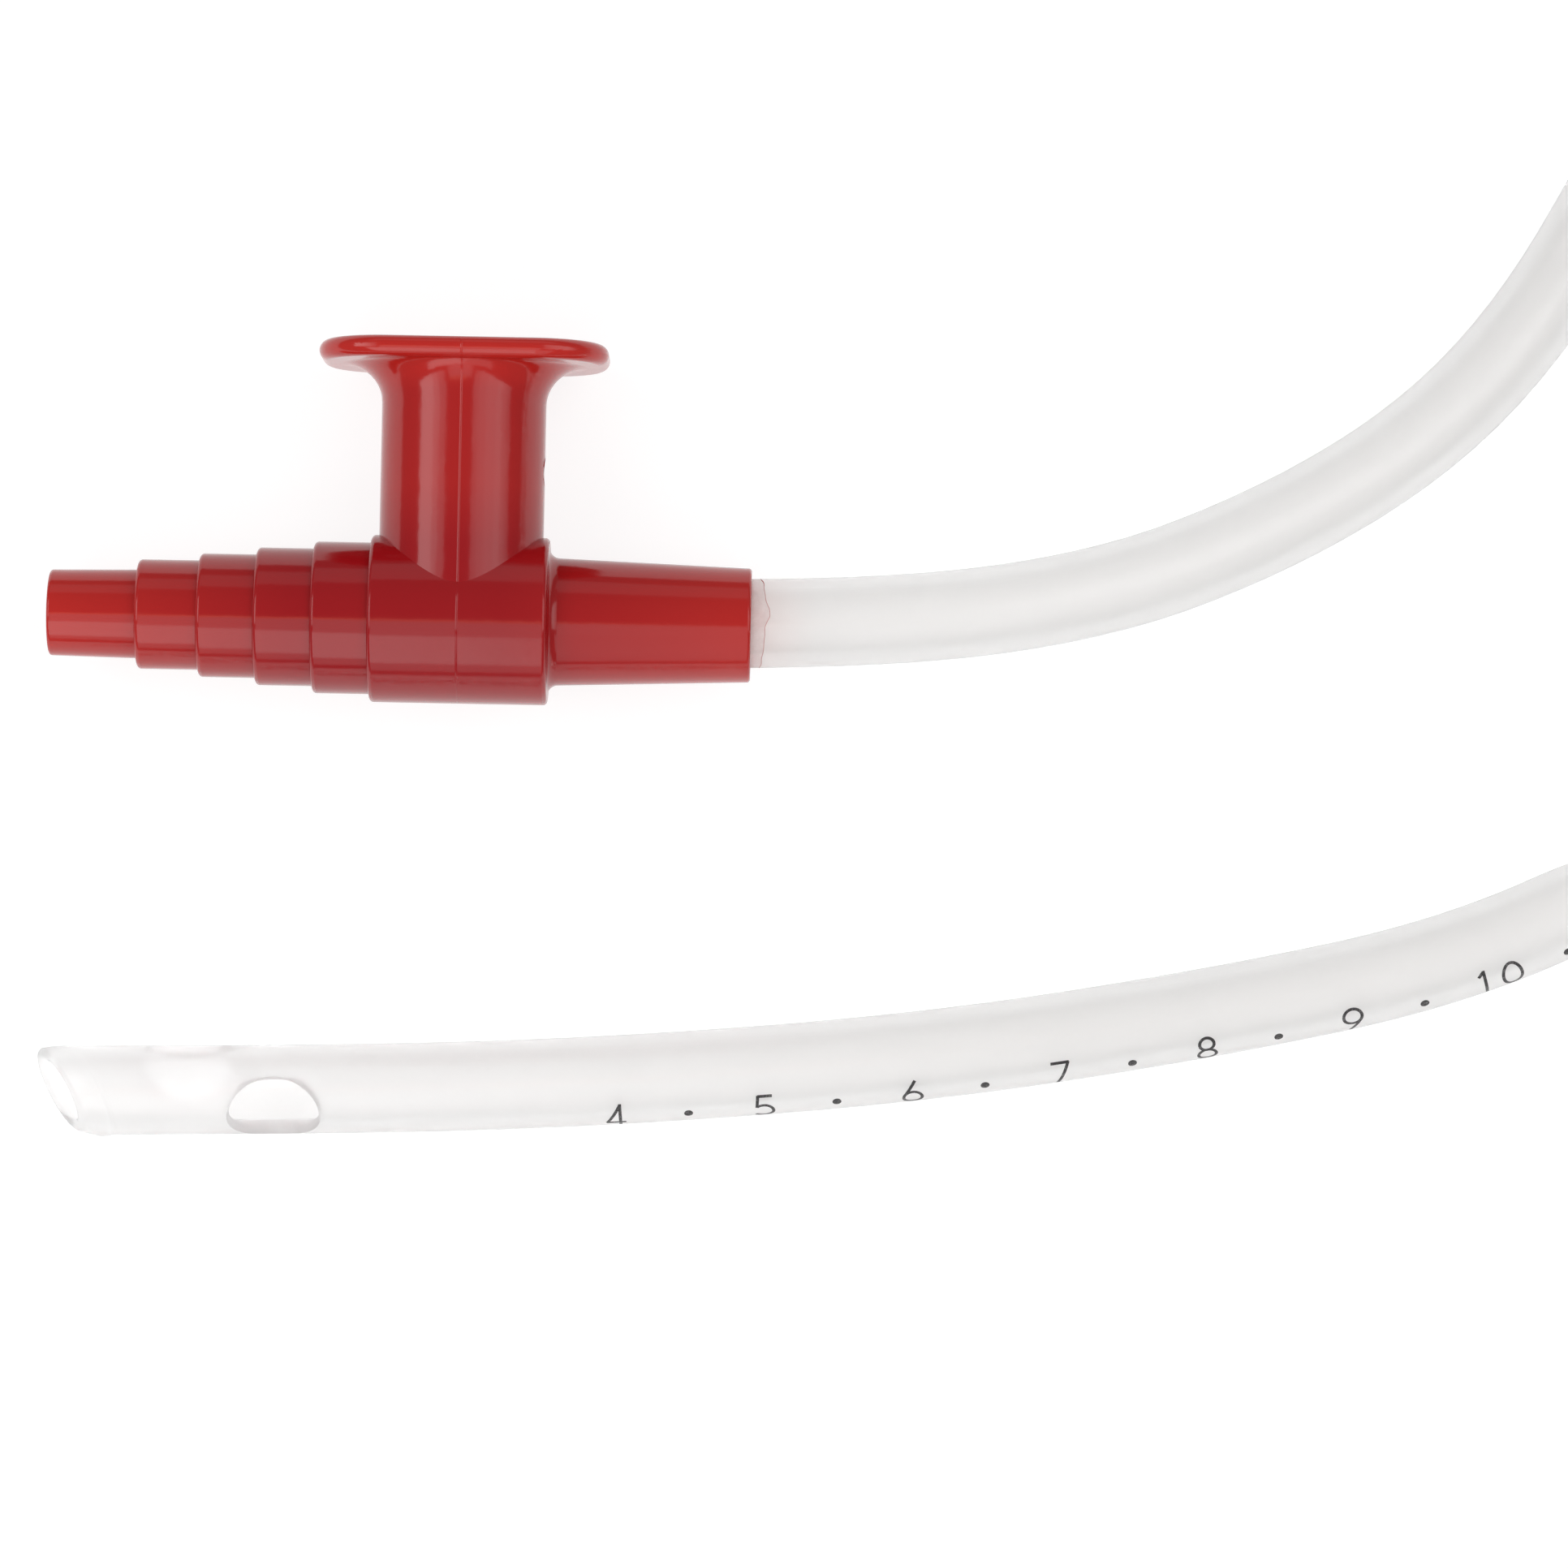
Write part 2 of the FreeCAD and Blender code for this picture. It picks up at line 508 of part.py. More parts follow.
def make_tube():
    """The clear tube: swept wall, slanted and heat-rounded tip, two eyes on opposite sides."""
    points = route()
    wire, radii = centreline(points)
    print("route points", len(points), "length", round(wire.Length, 2))
    print("arc radii", [round(r, 1) for r in radii], "smallest", round(min(radii), 2))
    spine = doc.addObject("Part::Feature", "route")
    spine.Shape = wire
    doc.recompute()
    outside = swept("tube_outside", across_x("sizes.tube_diameter / 2", "tube_ring", points[0]), spine)
    inside = swept("tube_inside", across_x("sizes.tube_bore / 2", "bore_ring", points[0]), spine)
    wall = doc.addObject("Part::Cut", "tube_wall")
    wall.Base, wall.Tool = outside, inside
    doc.recompute()
    section = math.pi / 4 * (size["tube_diameter"] ** 2 - size["tube_bore"] ** 2)
    volume = wall.Shape.Volume
    print("tube volume", round(volume, 1), "section times length", round(section * wire.Length, 1))

    heading = points[-1] - points[-2]
    back = FreeCAD.Vector(heading).normalize() * -1
    slant = math.radians(size["bevel_angle"])
    to_tip = (-size["tip_reach"] - points[-1].x) / back.x
    tip = points[-1] + back * to_tip
    middle = tip + back * (size["tube_diameter"] / 2 * math.tan(slant))

    # The slanted cut: everything on the tip's side of a plane that faces the bevel's way.
    cutter = doc.addObject("Part::Box", "tip_cutter")
    block = 3 * size["tube_diameter"]
    for side in ("Length", "Width", "Height"):
        cutter.setExpression(side, "3 * sizes.tube_diameter")
    lean = FreeCAD.Rotation(FreeCAD.Vector(0, 1, 0), -size["bevel_angle"])
    slanted = facing(size["bevel_turn"], heading).multiply(lean)
    corner = middle + slanted.multVec(FreeCAD.Vector(0, -block / 2, -block / 2))
    cutter.Placement = FreeCAD.Placement(corner, slanted)

    # The eyes: oval punches through one wall each, the far one opposite the near one.
    punches = []
    half_a_turn = 180
    for name, turn, place in (
        ("near_eye", size["eye_turn"], size["near_eye_place"]),
        ("far_eye", size["eye_turn"] + half_a_turn, size["far_eye_place"]),
    ):
        oval = doc.addObject("Part::Ellipse", f"{name}_plan")
        oval.setExpression("MajorRadius", "sizes.eye_length / 2")
        oval.setExpression("MinorRadius", "sizes.eye_width / 2")
        oval.Placement = FreeCAD.Placement(tip + back * place, facing(turn, heading))
        punch = doc.addObject("Part::Extrusion", name)
        punch.Base = oval
        punch.DirMode = "Normal"
        punch.Solid = True
        punch.setExpression("LengthFwd", "sizes.tube_diameter")
        punches.append(punch)

    cuts = doc.addObject("Part::MultiFuse", "tip_cuts")
    cuts.Shapes = [cutter, *punches]
    open_tube = doc.addObject("Part::Cut", "open_tube")
    open_tube.Base, open_tube.Tool = wall, cuts
    doc.recompute()

    # The slanted end's two oval edges, outer and inner, are rounded as the heated lip is.
    tube = doc.addObject("Part::Fillet", "catheter_tube")
    tube.Label = "catheter_tube"
    tube.Base = open_tube
    lip = size["lip_round"]
    tube.Edges = [
        (i, lip, lip)
        for i, edge in enumerate(open_tube.Shape.Edges, start=1)
        if isinstance(edge.Curve, Part.Ellipse) and (edge.CenterOfMass - middle).Length < lip
    ]
    doc.recompute()
    return tube


nodes = [make_connector(), make_tube()]
doc.recompute()
for item in doc.Objects:
    if "Invalid" in item.State or "Error" in item.State:
        raise RuntimeError(f"{item.Name} failed: {item.State}")
os.makedirs("parts", exist_ok=True)
for node in nodes:
    shape = node.Shape
    if shape.isNull() or not shape.isValid():
        raise RuntimeError(f"{node.Label} has no sound shape")
    box = shape.BoundBox
    print(node.Label, "solids", len(shape.Solids), "volume", round(shape.Volume, 1))
    print("  from", [round(v, 3) for v in (box.XMin, box.YMin, box.ZMin)])
    print("  to", [round(v, 3) for v in (box.XMax, box.YMax, box.ZMax)])
    shape.exportStep(f"parts/{node.Label}.step")
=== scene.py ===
# %% [markdown]
# # A suction catheter
# The real object is two pieces: a clear extruded tube with a slanted, polished tip and two side
# eyes, and a red injection moulding with a stepped barb and a thumb port that the tube is bonded
# into. The moulding is hard and its shape is already exact in the CAD model, so it stays and only
# gets a finish. The tube is made again here, because its line is a smooth curve and its wall,
# eyes and lip have to carry glass, where every facet would show.

import bmesh
import bpy
import numpy as np
from mathutils import Matrix, Vector


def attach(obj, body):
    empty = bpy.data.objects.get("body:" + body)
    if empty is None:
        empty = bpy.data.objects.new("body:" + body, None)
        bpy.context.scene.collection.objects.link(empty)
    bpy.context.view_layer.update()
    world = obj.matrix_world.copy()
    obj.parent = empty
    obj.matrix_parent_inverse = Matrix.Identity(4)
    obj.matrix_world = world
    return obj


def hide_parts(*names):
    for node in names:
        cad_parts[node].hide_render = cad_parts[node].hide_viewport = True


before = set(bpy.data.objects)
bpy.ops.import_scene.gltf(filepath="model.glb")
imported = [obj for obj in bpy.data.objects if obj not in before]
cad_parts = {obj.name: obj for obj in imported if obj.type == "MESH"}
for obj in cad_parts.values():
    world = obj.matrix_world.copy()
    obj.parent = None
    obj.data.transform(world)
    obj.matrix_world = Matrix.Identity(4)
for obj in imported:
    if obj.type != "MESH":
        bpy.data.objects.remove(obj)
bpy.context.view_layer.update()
MM = 0.001
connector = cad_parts["connector"]

# %% [markdown]
# ## Camera
# A photograph's viewpoint is found by fitting known sizes to where they appear in the picture.
# Here the marks on the tube are a centimetre apart and give the scale, and the stem's ends give
# the tilt: the camera looks almost straight down, a few degrees from the barb's front side. It is
# made first, because the cord's rules measure what the camera can't see.

# %% The camera
AIM = Vector((26.08, -17.29, 5.65)) * MM
DISTANCE = 480 * MM
TILT = np.radians(5.4)
ROLL = np.radians(1.09)
PICTURE_POINTS = 1932
POINTS_PER_METRE = 18300

back = Vector((0, -np.sin(TILT), np.cos(TILT)))
level_up = Vector((0, np.cos(TILT), np.sin(TILT)))
level_right = Vector((1, 0, 0))
right = level_right * np.cos(ROLL) + level_up * np.sin(ROLL)
up = level_up * np.cos(ROLL) - level_right * np.sin(ROLL)
lens = bpy.data.cameras.new("camera")
lens.sensor_width = 36
lens.lens = lens.sensor_width * POINTS_PER_METRE * DISTANCE / PICTURE_POINTS
lens.clip_start = 0.01
camera = bpy.data.objects.new("camera", lens)
camera_place = AIM + back * DISTANCE
camera.matrix_world = Matrix((
    (right.x, up.x, back.x, camera_place.x),
    (right.y, up.y, back.y, camera_place.y),
    (right.z, up.z, back.z, camera_place.z),
    (0, 0, 0, 1),
))
bpy.context.scene.collection.objects.link(camera)
bpy.context.scene.camera = camera
print("lens, mm:", round(lens.lens, 1), "at", [round(c, 3) for c in camera_place])

# %% [markdown]
# ## The tube's line
# A tube is one length of something springy, so its middle line has to be one smooth curve. A
# NURBS curve of order 3 gives that from a few control points, the same ones that the CAD route
# has: straight out of the socket, down to the table, one and a half turns of a storage coil with
# the second turn lying on the first, then over the first turn and along the table to the tip.

# %% Control points of the route, in millimetres
LEAVING = [
    (12.65, -6.6017, 5.65),
    (29.45, -6.6017, 5.65),
    (46.5, -4.3, 4.6),
    (59.0, 0.8, 3.4),
    (69.5, 7.5, 3.0),
    (77.0, 15.9, 3.0),
]
RETURNING = [
    (115.4, -16.9, 9.2),
    (99.3, -20.5, 7.1),
    (84.0, -22.4, 3.8),
    (71.5, -28.3, 3.0),
    (55.0, -32.1, 3.0),
    (36.0, -35.4, 3.0),
    (14.0, -37.5, 3.0),
    (-6.0, -38.4, 3.0),
    (-24.9, -38.75, 3.0),
]
TUBE_RADIUS = 3.0 * MM
BORE_RADIUS = 2.05 * MM
TIP_REACH = -24.0 * MM
COIL_MIDDLE = (116.4, 17.8)
COIL_RADIUS = 34.5
COIL_START, COIL_STEP = 164, 29.3
TURN_HEIGHT, CLIMB = 3, 6.2

point = np.arange(21)
angle = np.radians(COIL_START - COIL_STEP * point)
climbed = np.clip((point - 9) / 3, 0, 1)
COIL = np.stack([
    COIL_MIDDLE[0] + COIL_RADIUS * np.cos(angle),
    COIL_MIDDLE[1] + COIL_RADIUS * np.sin(angle),
    TURN_HEIGHT + CLIMB * (3 * climbed**2 - 2 * climbed**3),
], axis=1)
route = np.concatenate([LEAVING, COIL, RETURNING]) * MM
print(len(route), "control points")

# %% The smooth line through the route
curve = bpy.data.curves.new("tube_line", "CURVE")
curve.dimensions = "3D"
curve.resolution_u = 40
spline = curve.splines.new("NURBS")
spline.points.add(len(route) - 1)
spline.points.foreach_set("co", np.column_stack([route, np.ones(len(route))]).ravel())
spline.order_u = 3
spline.use_endpoint_u = True
line_object = bpy.data.objects.new("tube_line", curve)
line_mesh = bpy.data.meshes.new_from_object(line_object)
line = np.zeros(len(line_mesh.vertices) * 3)
line_mesh.vertices.foreach_get("co", line)
line = line.reshape(-1, 3)
bpy.data.objects.remove(line_object)
bpy.data.curves.remove(curve)
bpy.data.meshes.remove(line_mesh)


def unit(vectors):
    """Each vector divided by its own length."""
    return vectors / np.linalg.norm(vectors, axis=-1, keepdims=True)


SAME_POINT = 1e-7
# the line's first and last points, where X only grows and only falls
LEAVING_SOCKET, NEARING_TIP = slice(0, 300), slice(-200, None)
line = line[np.append(True, np.linalg.norm(np.diff(line, axis=0), axis=1) > SAME_POINT)]
along = np.append(0, np.cumsum(np.linalg.norm(np.diff(line, axis=0), axis=1)))
forward = unit(np.gradient(line, along, axis=0))
left = unit(np.cross([0, 0, 1], forward))
upward = np.cross(forward, left)
tip_along = np.interp(-TIP_REACH, -line[NEARING_TIP, 0], along[NEARING_TIP])
print("line, mm:", round(along[-1] / MM, 1), "to the tip:", round(tip_along / MM, 1))

# %% [markdown]
# ## The tube
# The tube could be a curve with a bevel, but that has no wall, eyes or slanted lip, and cutting
# them with a Boolean leaves ragged shading. So it is one surface of two parameters: the distance
# from the tip and the turn round the line. Two facts make it easy. The eyes lie exactly opposite
# each other, so the tube is two half shells that meet along the eyes' middles, and an eye is
# where the two halves' edges draw apart. And the slanted end is the same grid sheared.


# %% A point of the tube
def on_tube(from_tip, radius, turned):
    """The line's point at that distance back from the tip, plus the radius times a direction
    square to the line, turned from straight up towards the line's left."""
    s = tip_along - from_tip
    middle, rise, side = (
        np.stack([np.interp(s, along, each[:, axis]) for axis in range(3)], axis=-1)
        for each in (line, upward, left)
    )
    direction = np.cos(turned)[..., None] * rise + np.sin(turned)[..., None] * side
    return middle + np.asarray(radius)[..., None] * direction


# %% The slanted, polished end
BEVEL = np.tan(np.radians(32))
BEVEL_TURN = np.radians(53)
ROUNDED_OFF = 0.28 * MM
LIP_DRAWN_IN, BORE_DRAWN_IN, DRAWN_OVER = 0.16 * MM, 0.1 * MM, 0.9 * MM
MOULD_END = 1.75 * MM
SWELLING, LEFT_SWELLING = 0.07 * MM, 0.06 * MM
SWELLS_OVER, SINKS_OVER = 0.8 * MM, 0.22 * MM


def face_place(radius, turned):
    """Distance from the tip's furthest point to the slanted end plane, for a line along the tube
    at that radius and turn: a cosine round the tube, greatest on the side that the plane faces.
    The plane is moved out by what rounding takes off its sharp corner."""
    return BEVEL * (TUBE_RADIUS + radius * np.cos(turned - BEVEL_TURN)) - ROUNDED_OFF


def outer_radius(behind, turned):
    """The outside radius, that far behind the end at that turn: drawn in at the lip by heat, with
    a swelling where the hot mould ended, most on the line's left, and even from there on."""
    drawn_in = LIP_DRAWN_IN * np.exp(-((behind / DRAWN_OVER) ** 2))
    slope = np.where(behind < MOULD_END, SWELLS_OVER, SINKS_OVER)
    most = SWELLING + LEFT_SWELLING * np.sin(turned)
    return TUBE_RADIUS - drawn_in + most * np.exp(-(((behind - MOULD_END) / slope) ** 2))


def inner_radius(behind):
    """The bore's radius, that far behind the end: a little tighter at the lip."""
    return BORE_RADIUS - BORE_DRAWN_IN * np.exp(-((behind / DRAWN_OVER) ** 2))


# %% Rows along the tube
NEAR_EYE = 16.2 * MM
FAR_EYE = 10.2 * MM
EYE_HALF_LENGTH = 3.15 * MM
EYE_HALF_WIDTH = 2.45 * MM
EYE_TURN = np.radians(41)
WIDEST_SHARE = 0.85
SQUARE_FROM = 6.3 * MM
ROW_GAP = 0.004 * MM
round_eye = -np.cos(np.linspace(0, np.pi, 31)) * EYE_HALF_LENGTH
eye_rows = np.concatenate([NEAR_EYE + round_eye, FAR_EYE + round_eye])
plain_rows = np.concatenate([
    np.linspace(SQUARE_FROM, 26 * MM, 50),
    np.linspace(27 * MM, 205 * MM, 179),
    np.linspace(207 * MM, tip_along, 191),
])
clear_of_eyes = np.all(
    np.abs(plain_rows[:, None] - [NEAR_EYE, FAR_EYE]) > EYE_HALF_LENGTH + 0.05 * MM, axis=1
)
rows = np.sort(np.concatenate([eye_rows, plain_rows[clear_of_eyes]]))
rows = rows[np.append(True, np.diff(rows) > ROW_GAP)][::-1]
print(len(rows), "rows from the socket to", round(rows[-1] / MM, 2), "mm from the tip")

# %% The half shells
COLUMNS = 33
LIP_ROWS = 15
LIP_DEPTH, LIP_FROM = 0.38 * MM, 0.35 * MM
LIP_FULLNESS = 0.9
share = np.linspace(0, 1, COLUMNS)


def eye_opening(from_tip, eye, radius):
    """Half the angle that an eye opens in a wall of that radius: the oval's half width there,
    as an arc's sine, nothing beyond the oval's ends, and never more than a share of the radius,
    which leaves the bore its flat lower edge."""
    reach = np.clip(1 - ((from_tip - eye) / EYE_HALF_LENGTH) ** 2, 0, 1)
    return np.arcsin(np.clip(EYE_HALF_WIDTH * np.sqrt(reach) / radius, 0, WIDEST_SHARE))


def turned_over(from_tip, first_eye, second_eye, start, radius):
    """Turns across one half shell: from one eye's edge evenly to the other's."""
    low = start + eye_opening(from_tip, first_eye, radius)
    high = start + np.pi - eye_opening(from_tip, second_eye, radius)
    return low[:, None] + (high - low)[:, None] * share


def half_shell(first_eye, second_eye, start):
    """One closed band of points: along the outside to the tip, over the lip, back along the bore,
    and across the square end in the socket. Returns place, distance from the tip, and turn."""
    even = start + np.pi * share
    slant = np.linspace(0, 1, 48)[1:-1, None]
    outside_edge = face_place(TUBE_RADIUS, even) + LIP_FROM
    inside_edge = face_place(BORE_RADIUS, even) + LIP_FROM
    outside_t = np.concatenate([
        np.broadcast_to(rows[:, None], (len(rows), COLUMNS)),
        SQUARE_FROM * (1 - slant) + outside_edge * slant,
    ])
    inside_t = np.concatenate([
        np.broadcast_to(rows[:, None], (len(rows), COLUMNS)),
        SQUARE_FROM * (1 - slant) + inside_edge * slant,
    ])
    evenly = np.broadcast_to(even, (len(slant), COLUMNS))
    outside_turn = np.concatenate(
        [turned_over(rows, first_eye, second_eye, start, TUBE_RADIUS), evenly])
    inside_turn = np.concatenate(
        [turned_over(rows, first_eye, second_eye, start, BORE_RADIUS), evenly])
    outside_r = outer_radius(outside_t - face_place(TUBE_RADIUS, outside_turn), outside_turn)
    inside_r = inner_radius(inside_t - face_place(BORE_RADIUS, inside_turn))
    over = np.linspace(0, np.pi, LIP_ROWS)[:, None]
    tip_outer, tip_inner = outer_radius(LIP_FROM, even), inner_radius(LIP_FROM)
    lip_r = (tip_outer + tip_inner) / 2 + (tip_outer - tip_inner) / 2 * np.cos(over)
    lip_turn = np.broadcast_to(even, lip_r.shape)
    lip_t = face_place(lip_r, lip_turn) + LIP_DEPTH * (1 - np.sin(over) ** LIP_FULLNESS)
    t = np.concatenate([outside_t, lip_t, inside_t[::-1], outside_t[:1]])
    r = np.concatenate([outside_r, lip_r, inside_r[::-1], outside_r[:1]])
    turned = np.concatenate([outside_turn, lip_turn, inside_turn[::-1], outside_turn[:1]])
    return on_tube(t, r, turned), t, turned


shells = [
    half_shell(NEAR_EYE, FAR_EYE, EYE_TURN),
    half_shell(FAR_EYE, NEAR_EYE, EYE_TURN + np.pi),
]
print("half shell grids:", [shell[0].shape[:2] for shell in shells])

# %% The cut walls of the eyes
WALL_SWELL = 0.14 * MM


def eye_wall(eye, facing, side):
    """Half of an eye's cut wall. Down its length it follows the oval, and across it goes from the
    outer edge to the bore's edge, drawn a little into the hole half way, as a worn punch leaves
    it."""
    t = rows[np.abs(rows - eye) <= EYE_HALF_LENGTH * (1 + 1e-9)]
    oval = np.arccos(np.clip((t - eye) / EYE_HALF_LENGTH, -1, 1))[:, None]
    across = np.linspace(0, 1, 7)
    swell = WALL_SWELL * 4 * across * (1 - across)
    width = EYE_HALF_WIDTH * np.sin(oval)
    outer = [width, np.sqrt(TUBE_RADIUS**2 - width**2)]
    narrow = np.minimum(width, WIDEST_SHARE * BORE_RADIUS)
    inner = [narrow, np.sqrt(BORE_RADIUS**2 - narrow**2)]
    y, z = (a * (1 - across) + b * across for a, b in zip(outer, inner))
    y = y - swell * np.sin(oval)
    where = eye + (EYE_HALF_LENGTH - swell) * np.cos(oval)
    turned = facing + side * np.arctan2(y, z)
    return on_tube(where, np.hypot(y, z), turned), where, turned


walls = [
    eye_wall(eye, facing, side)
    for eye, facing in ((NEAR_EYE, EYE_TURN), (FAR_EYE, EYE_TURN + np.pi))
    for side in (1, -1)
]
print("eye wall grids:", [wall[0].shape[:2] for wall in walls])

# %% From grids of points to one closed mesh
WELD = 2e-7


def quads(points):
    """Corner numbers of the quads between neighbouring points of a grid."""
    height, width = points.shape[:2]
    corner = np.arange(height - 1)[:, None] * width + np.arange(width - 1)
    return np.stack([corner, corner + width, corner + width + 1, corner + 1], -1).reshape(-1, 4)


def solid_from(name, grids, extras=(), crease=None, slots=None):
    """Joins grids where their points agree, closes the shell and turns its faces outwards.
    Extras are (name, values per point) that go with the points as attributes, and slots gives
    each grid's place in the list of materials."""
    starts = np.cumsum([0] + [grid.shape[0] * grid.shape[1] for grid in grids])
    faces = np.concatenate([quads(grid) + start for grid, start in zip(grids, starts)])
    points = np.concatenate([grid.reshape(-1, 3) for grid in grids])
    mesh = bpy.data.meshes.new(name)
    mesh.from_pydata(points.tolist(), [], faces.tolist())
    if slots is not None:
        counts = [(grid.shape[0] - 1) * (grid.shape[1] - 1) for grid in grids]
        mesh.polygons.foreach_set("material_index", np.repeat(slots, counts))
    for label, values in extras:
        kind = "FLOAT_VECTOR" if values.ndim == 2 else "FLOAT"
        field = "vector" if values.ndim == 2 else "value"
        mesh.attributes.new(label, kind, "POINT").data.foreach_set(field, values.ravel())
    shell = bmesh.new()
    shell.from_mesh(mesh)
    bmesh.ops.remove_doubles(shell, verts=shell.verts, dist=WELD)
    bmesh.ops.dissolve_degenerate(shell, edges=shell.edges, dist=WELD)
    bmesh.ops.recalc_face_normals(shell, faces=shell.faces)
    open_edges = sum(1 for edge in shell.edges if len(edge.link_faces) != 2)
    shell.to_mesh(mesh)
    shell.free()
    mesh.shade_smooth()
    if crease is not None:
        mesh.set_sharp_from_angle(angle=np.radians(crease))
    piece = bpy.data.objects.new(name, mesh)
    bpy.context.scene.collection.objects.link(piece)
    print(name, len(mesh.polygons), "faces,", open_edges, "open edges")
    return piece


def surface_note(shapes):
    """For the finishes: the turn's cosine and sine with the distance along, in centimetres, so
    that a pattern closes round the tube."""
    t = np.concatenate([shape[1].ravel() for shape in shapes])
    turned = np.concatenate([shape[2].ravel() for shape in shapes])
    return np.stack([np.cos(turned), np.sin(turned), t / (10 * MM)], axis=1)


parts = shells + walls
tube = solid_from(
    "tube", [part[0] for part in parts], [("lengthways", surface_note(parts))], crease=50,
    slots=[0] * len(shells) + [1] * len(walls))

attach(tube, "root")
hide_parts("catheter_tube")
MOUTH = (23.65 * MM, -6.6017 * MM, 5.65 * MM)


# %% [markdown]
# ## Finishes
# A material is a small tree of nodes. What changes over the surface, such as a slight unevenness,
# is shared by several finishes, so it is a node group with named inputs that gives out only a
# value. The shader itself, and numbers that are the same everywhere, stay in each material.


# %% Helpers for node trees
class Tree:
    """The nodes of a material, or of another owner such as the world, with short calls to add
    one and to link it."""

    def __init__(self, owner, shader="Principled BSDF", output="Material Output"):
        owner.use_nodes = True
        self.owner = owner
        self.nodes = owner.node_tree.nodes
        self.links = owner.node_tree.links
        self.shader = self.nodes[shader]
        self.output = self.nodes[output]

    def add(self, kind, settings=(), **inputs):
        """A new node, its settings, and its inputs by name, each a value or another's output."""
        node = self.nodes.new(kind)
        for name, value in dict(settings).items():
            setattr(node, name, value)
        self.feed(node, {name.replace("_", " "): value for name, value in inputs.items()})
        return node

    def feed(self, node, inputs):
        """Sets or links each input, by its name or its number."""
        for name, value in inputs.items():
            if isinstance(value, bpy.types.NodeSocket):
                self.links.new(value, node.inputs[name])
            else:
                node.inputs[name].default_value = value

    def maths(self, operation, *values):
        """The result of a Math node on one or two values."""
        node = self.add("ShaderNodeMath", {"operation": operation})
        self.feed(node, dict(enumerate(values)))
        return node.outputs["Value"]

    def colour_between(self, share, first, second):
        """The colour that share of the way from the first to the second."""
        node = self.add("ShaderNodeMix", {"data_type": "RGBA"})
        self.feed(node, {"Factor": share, 6: first, 7: second})
        return node.outputs[2]

    def either(self, share, first, second):
        """A mix of two shaders: the first where the share is 0, the second where it is 1."""
        node = self.add("ShaderNodeMixShader")
        self.feed(node, {"Fac": share, 1: first, 2: second})
        return node.outputs["Shader"]


# %% A node group: fine unevenness
def unevenness_group():
    """Two noises on one pattern vector, a fine one and a broad one, each from 0 to 1, and their
    sum with the given shares."""
    group = bpy.data.node_groups.new("unevenness", "ShaderNodeTree")
    for name, kind in (("Vector", "NodeSocketVector"), ("Fine Scale", "NodeSocketFloat"),
                       ("Broad Scale", "NodeSocketFloat"), ("Fine Share", "NodeSocketFloat")):
        group.interface.new_socket(name, in_out="INPUT", socket_type=kind)
    for name in ("Fine", "Broad", "Both"):
        group.interface.new_socket(name, in_out="OUTPUT", socket_type="NodeSocketFloat")
    enter, leave = group.nodes.new("NodeGroupInput"), group.nodes.new("NodeGroupOutput")
    fine, broad = group.nodes.new("ShaderNodeTexNoise"), group.nodes.new("ShaderNodeTexNoise")
    both = group.nodes.new("ShaderNodeMix")
    for noise, scale in ((fine, "Fine Scale"), (broad, "Broad Scale")):
        noise.inputs["Detail"].default_value = 3
        group.links.new(enter.outputs["Vector"], noise.inputs["Vector"])
        group.links.new(enter.outputs[scale], noise.inputs["Scale"])
    group.links.new(enter.outputs["Fine Share"], both.inputs["Factor"])
    group.links.new(broad.outputs["Fac"], both.inputs["A"])
    group.links.new(fine.outputs["Fac"], both.inputs["B"])
    group.links.new(fine.outputs["Fac"], leave.inputs["Fine"])
    group.links.new(broad.outputs["Fac"], leave.inputs["Broad"])
    group.links.new(both.outputs["Result"], leave.inputs["Both"])
    return group


UNEVENNESS = unevenness_group()
print("group outputs:", [s.name for s in UNEVENNESS.interface.items_tree if s.in_out == "OUTPUT"])

# %% [markdown]
# ### Clear plastic with a fine frosted surface
# Soft tubing is glass to a renderer, but its surface is never polished: extrusion leaves faint
# lines along it and a fine haze, which spreads what is seen through it into soft bands. So the
# glass is rough, with a thin smooth coat over it for the crisp highlights of a wetted surface.
# The plastic's tint follows the distance from the tip, because the end that was pressed in a hot
# mould is the clearest, and red runs into it at the socket. Light that goes to the table through
# the tube isn't worth tracing, so shadow rays pass, and its shadow stays light. The eyes' cut walls
# are scuffed by the punch, so they have a frosted finish of their own.

# %% The tube's finish
HAZE = 0.285
CLEAREST = (0.888, 0.886, 0.884, 1)
CLOUDIER = (0.845, 0.841, 0.836, 1)
REDDENED = (0.85, 0.81, 0.80, 1)
mouth_along = np.interp(MOUTH[0], line[LEAVING_SOCKET, 0], along[LEAVING_SOCKET])
SOCKET_CM = (tip_along - mouth_along) / (10 * MM)

clear = Tree(bpy.data.materials.new("clear_tube"))
note = clear.add("ShaderNodeAttribute", {"attribute_name": "lengthways"})
along_it = clear.add("ShaderNodeSeparateXYZ", Vector=note.outputs["Vector"])
drawn = clear.add("ShaderNodeMapping", Vector=note.outputs["Vector"], Scale=(1, 1, 0.03))
lines = clear.add("ShaderNodeGroup", {"node_tree": UNEVENNESS}, Vector=drawn.outputs["Vector"],
                  Fine_Scale=9.0, Broad_Scale=2.0, Fine_Share=0.5)
cloud = clear.add("ShaderNodeMapRange", Value=along_it.outputs["Z"],
                  From_Min=0.3, From_Max=7.0, To_Min=0.0, To_Max=1.0)
glue = clear.add("ShaderNodeMapRange", {"interpolation_type": "SMOOTHSTEP"},
                 Value=along_it.outputs["Z"], From_Min=SOCKET_CM - 0.5, From_Max=SOCKET_CM,
                 To_Min=0.0, To_Max=1.0)
tint = clear.colour_between(cloud.outputs["Result"], CLEAREST, CLOUDIER)
